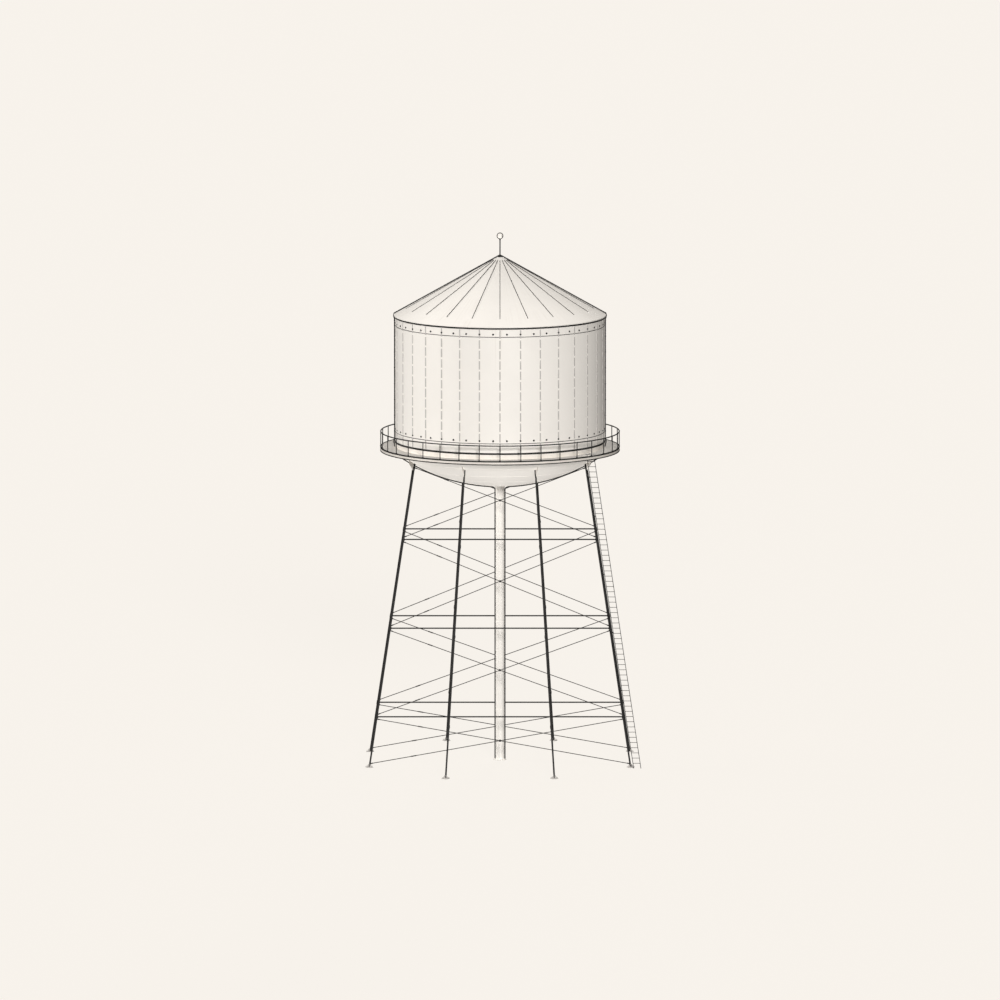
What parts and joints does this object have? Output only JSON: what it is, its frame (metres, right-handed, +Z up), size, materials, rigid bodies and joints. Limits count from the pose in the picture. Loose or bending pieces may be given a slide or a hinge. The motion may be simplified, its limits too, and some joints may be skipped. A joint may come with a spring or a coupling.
{
  "type": "water tower",
  "caption": "Elevated round water tank with a cone roof, dished bottom and ring walkway, on battered steel legs with struts, crossed rods, a riser pipe and a ladder.",
  "frame": {"origin": "middle of the riser pipe's base plate, at ground level", "axes": "+Z up; the front faces -Y, with the ladder at its right; +X to the right"},
  "size_m": [16.0902, 15.7144, 31.045],
  "materials": {
    "tank_paint": "satin cream paint on riveted steel plate, with thin dark lap seams",
    "roof_paint": "satin cream paint on steel roof sheets, with thin dark standing seams",
    "trim_paint": "charcoal paint, satin",
    "walkway_paint": "cream paint, worn to grey on the floor plate",
    "rail_paint": "charcoal paint, satin",
    "leg_paint": "charcoal paint, satin",
    "bracing_paint": "charcoal paint, satin",
    "rod_paint": "dark grey paint, satin",
    "riser_paint": "satin cream paint on steel pipe",
    "ladder_paint": "dark grey paint, satin"
  },
  "bodies": {
    "root": {"tank_wall_front": "tank_paint", "tank_wall_back": "tank_paint", "tank_wall_left": "tank_paint", "tank_wall_right": "tank_paint", "tank_bottom": "tank_paint", "tank_roof": "roof_paint", "bottom_ring": "trim_paint", "eave_ring": "trim_paint", "finial": "trim_paint", "walkway_deck": "walkway_paint", "walkway_hatch_bay": "walkway_paint", "walkway_rail_front": "rail_paint", "walkway_rail_back": "rail_paint", "walkway_rail_left": "rail_paint", "walkway_rail_right": "rail_paint", "leg_right_back": "leg_paint", "leg_back_right": "leg_paint", "leg_back_left": "leg_paint", "leg_left_back": "leg_paint", "leg_left_front": "leg_paint", "leg_front_left": "leg_paint", "leg_front_right": "leg_paint", "leg_right_front": "leg_paint", "strut_grid_1": "bracing_paint", "strut_grid_2": "bracing_paint", "strut_grid_3": "bracing_paint", "rods_front_1": "rod_paint", "rods_front_2": "rod_paint", "rods_front_3": "rod_paint", "rods_front_4": "rod_paint", "rods_back_1": "rod_paint", "rods_back_2": "rod_paint", "rods_back_3": "rod_paint", "rods_back_4": "rod_paint", "rods_left_1": "rod_paint", "rods_left_2": "rod_paint", "rods_left_3": "rod_paint", "rods_left_4": "rod_paint", "rods_right_1": "rod_paint", "rods_right_2": "rod_paint", "rods_right_3": "rod_paint", "rods_right_4": "rod_paint", "riser_pipe": "riser_paint", "ladder": "ladder_paint"}
  },
  "joints": []
}
